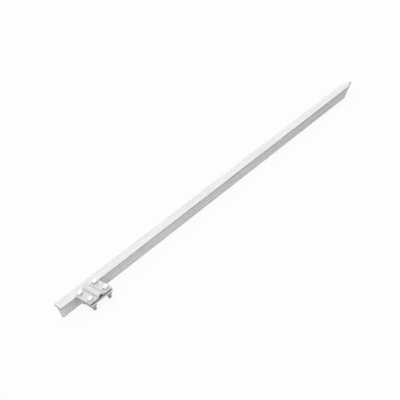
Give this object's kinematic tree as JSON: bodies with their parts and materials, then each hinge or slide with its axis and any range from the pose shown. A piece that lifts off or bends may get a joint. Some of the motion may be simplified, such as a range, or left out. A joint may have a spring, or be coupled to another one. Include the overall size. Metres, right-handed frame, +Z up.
{
  "type": "ground rod",
  "caption": "Ground rod of galvanised T section, cut to a point at one end, with a bolted two-plate clamp for a round earthing conductor near the driving head",
  "frame": {"origin": "the middle of the crossbar's thickness, on the face of the driving head, where the middle planes of the crossbar and of the web cross", "axes": "+X runs along the rod from the driving head to the point, +Y is the side away from the clamp, +Z is up as the rod lies on a floor, on the foot of its web and the ends of the clamp's two outer bolts, which rolls the crossbar 7.3 degrees about X so that its clamp side is the lower one"},
  "size_m": [1, 0.0846, 0.0364],
  "materials": {
    "section": "hot-dip galvanised rolled steel, matt light grey",
    "plate": "hot-dip galvanised pressed strip, matt light grey",
    "fastener": "zinc-plated steel, satin"
  },
  "bodies": {
    "root": {"rod": "section", "clamp_top_plate": "plate", "clamp_bottom_plate": "plate", "clamp_bolts": "fastener", "clamp_nuts": "fastener"}
  },
  "joints": []
}
